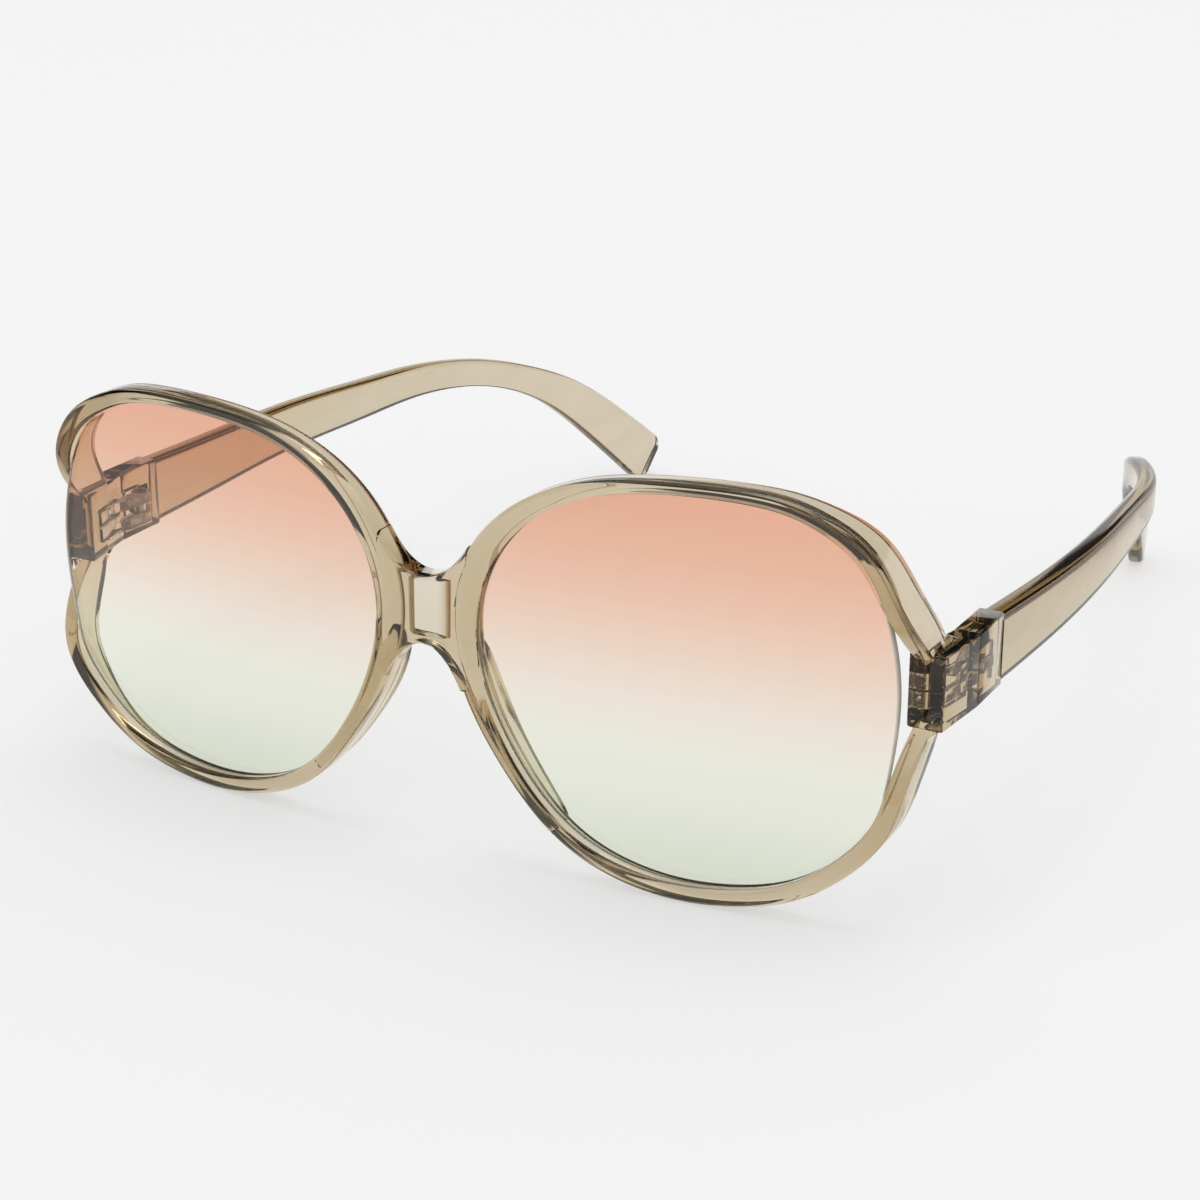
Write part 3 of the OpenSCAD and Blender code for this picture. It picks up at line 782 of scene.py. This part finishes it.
# Heights on the sky, as sines, between which the backdrop ends and the bright ceiling starts
BACKDROP_TOP, CEILING_FROM = (0.24, 0.28), (0.62, 0.80)

# White floor in metres: half its side, its height, the share of its light that takes no
# shadow, and the distances over which it meets the backdrop
FLOOR_HALF, FLOOR_Z, GLOW_SHARE, FLOOR_END = 4.0, -0.00002, 0.56, (0.6, 1.6)

# Soft light overhead: its place, side and power
KEY_PLACE, KEY_SIDE, KEY_POWER = (0.02, 0.22, 2.4), 1.3, 12.0

# Camera: turn and rise in degrees, distance, what it looks at, and its focal length in pixels
# of an image of this width
TURN, RISE, DISTANCE, TARGET = 28.36, 20.95, 0.3485, (0.0268, -MIDDLE_Y * MM, 0.0419)
FOCAL_PIXELS, IMAGE_PIXELS, SENSOR = 2673.9, 1200, 36


def maths(tree, operation, a, b):
    """A Math node; a and b are sockets or numbers."""
    n = tree.nodes.new("ShaderNodeMath")
    n.operation = operation
    for k, value in enumerate((a, b)):
        if isinstance(value, (int, float)):
            n.inputs[k].default_value = value
        else:
            tree.links.new(value, n.inputs[k])
    return n.outputs[0]


def span(tree, value, low, high):
    """0 at low, 1 at high, smooth between."""
    return ranged(tree, value, low, high, steps="SMOOTHSTEP")


def shows_backdrop(tree):
    """1 for a ray from the camera, a mirror-like surface or clear plastic, and otherwise 0."""
    path = tree.nodes.new("ShaderNodeLightPath")
    return maths(tree, "MAXIMUM", path.outputs["Is Camera Ray"], maths(
        tree, "MAXIMUM", path.outputs["Is Glossy Ray"], path.outputs["Is Transmission Ray"]))


def make_floor():
    mesh = bpy.data.meshes.new("floor")
    s = FLOOR_HALF
    mesh.from_pydata([(x, y, FLOOR_Z) for x, y in ((-s, -s), (s, -s), (s, s), (-s, s))], [],
                     [(0, 1, 2, 3)])
    floor = bpy.data.objects.new("floor", mesh)
    bpy.context.scene.collection.objects.link(floor)
    mat, tree, shader = principled("floor_white", (0.92, 0.92, 0.922), 0.9, transmission=0.0)
    shader.inputs["Specular IOR Level"].default_value = 0.0
    shown = shows_backdrop(tree)
    place = tree.nodes.new("ShaderNodeNewGeometry")
    reach = tree.nodes.new("ShaderNodeVectorMath")
    reach.operation = "LENGTH"
    tree.links.new(place.outputs["Position"], reach.inputs[0])
    end = maths(tree, "MULTIPLY", span(tree, reach.outputs["Value"], *FLOOR_END), shown)
    glow = maths(tree, "MULTIPLY", shown, GLOW_SHARE)
    surface = shader.outputs["BSDF"]
    for share in (glow, end):
        light = node(tree, "ShaderNodeEmission", Color=(1, 1, 1, 1), Strength=BACKDROP)
        mix = tree.nodes.new("ShaderNodeMixShader")
        tree.links.new(share, mix.inputs["Fac"])
        tree.links.new(surface, mix.inputs[1])
        tree.links.new(light.outputs["Emission"], mix.inputs[2])
        surface = mix.outputs["Shader"]
    tree.links.new(surface, tree.nodes["Material Output"].inputs["Surface"])
    mesh.materials.append(mat)


def lean(tree, axes):
    """Softly stronger light from above, behind and the right."""
    right, behind, above = (maths(tree, "MULTIPLY", axis, share)
                            for axis, share in zip(axes, LEAN_TO))
    along = maths(tree, "ADD", right, maths(tree, "ADD", behind, above))
    return maths(tree, "MULTIPLY", span(tree, along, 0.0, 1.0), LEAN)


def make_world():
    world = bpy.data.worlds.new("studio")
    world.use_nodes = True
    tree = world.node_tree
    background = tree.nodes["Background"]
    background.inputs["Color"].default_value = (1.0, 1.0, 1.0, 1)
    coords = tree.nodes.new("ShaderNodeTexCoord")
    xyz = tree.nodes.new("ShaderNodeSeparateXYZ")
    tree.links.new(coords.outputs["Generated"], xyz.inputs["Vector"])
    axes = [xyz.outputs[k] for k in "XYZ"]
    low = maths(tree, "SUBTRACT", 1.0, span(tree, axes[2], *BACKDROP_TOP))
    bright = maths(tree, "MAXIMUM", span(tree, axes[2], *CEILING_FROM), low)
    studio = maths(tree, "ADD", maths(tree, "MULTIPLY", bright, BACKDROP - STUDIO_DARK),
                   STUDIO_DARK)
    shown = shows_backdrop(tree)
    light = maths(tree, "ADD", FILL, lean(tree, axes))
    strength = maths(tree, "ADD", maths(tree, "MULTIPLY", shown, studio), maths(
        tree, "MULTIPLY", maths(tree, "SUBTRACT", 1.0, shown), light))
    tree.links.new(strength, background.inputs["Strength"])
    bpy.context.scene.world = world


def make_key():
    data = bpy.data.lights.new("key", "AREA")
    data.shape = "RECTANGLE"
    data.size = data.size_y = KEY_SIDE
    data.energy = KEY_POWER
    light = bpy.data.objects.new("key", data)
    light.location = KEY_PLACE
    light.rotation_euler = (-Vector(KEY_PLACE)).to_track_quat("-Z", "Y").to_euler()
    bpy.context.scene.collection.objects.link(light)


def make_camera():
    azimuth, elevation = math.radians(TURN), math.radians(RISE)
    back = Vector((math.sin(azimuth) * math.cos(elevation),
                   -math.cos(azimuth) * math.cos(elevation), math.sin(elevation)))
    data = bpy.data.cameras.new("camera")
    data.sensor_width = SENSOR
    data.lens = FOCAL_PIXELS / IMAGE_PIXELS * SENSOR
    data.clip_start = 0.01
    camera = bpy.data.objects.new("camera", data)
    camera.location = Vector(TARGET) + back * DISTANCE
    camera.rotation_euler = (-back).to_track_quat("-Z", "Y").to_euler()
    bpy.context.scene.collection.objects.link(camera)
    bpy.context.scene.camera = camera


make_floor()
make_world()
make_key()
make_camera()
bpy.context.scene.view_settings.view_transform = "Standard"
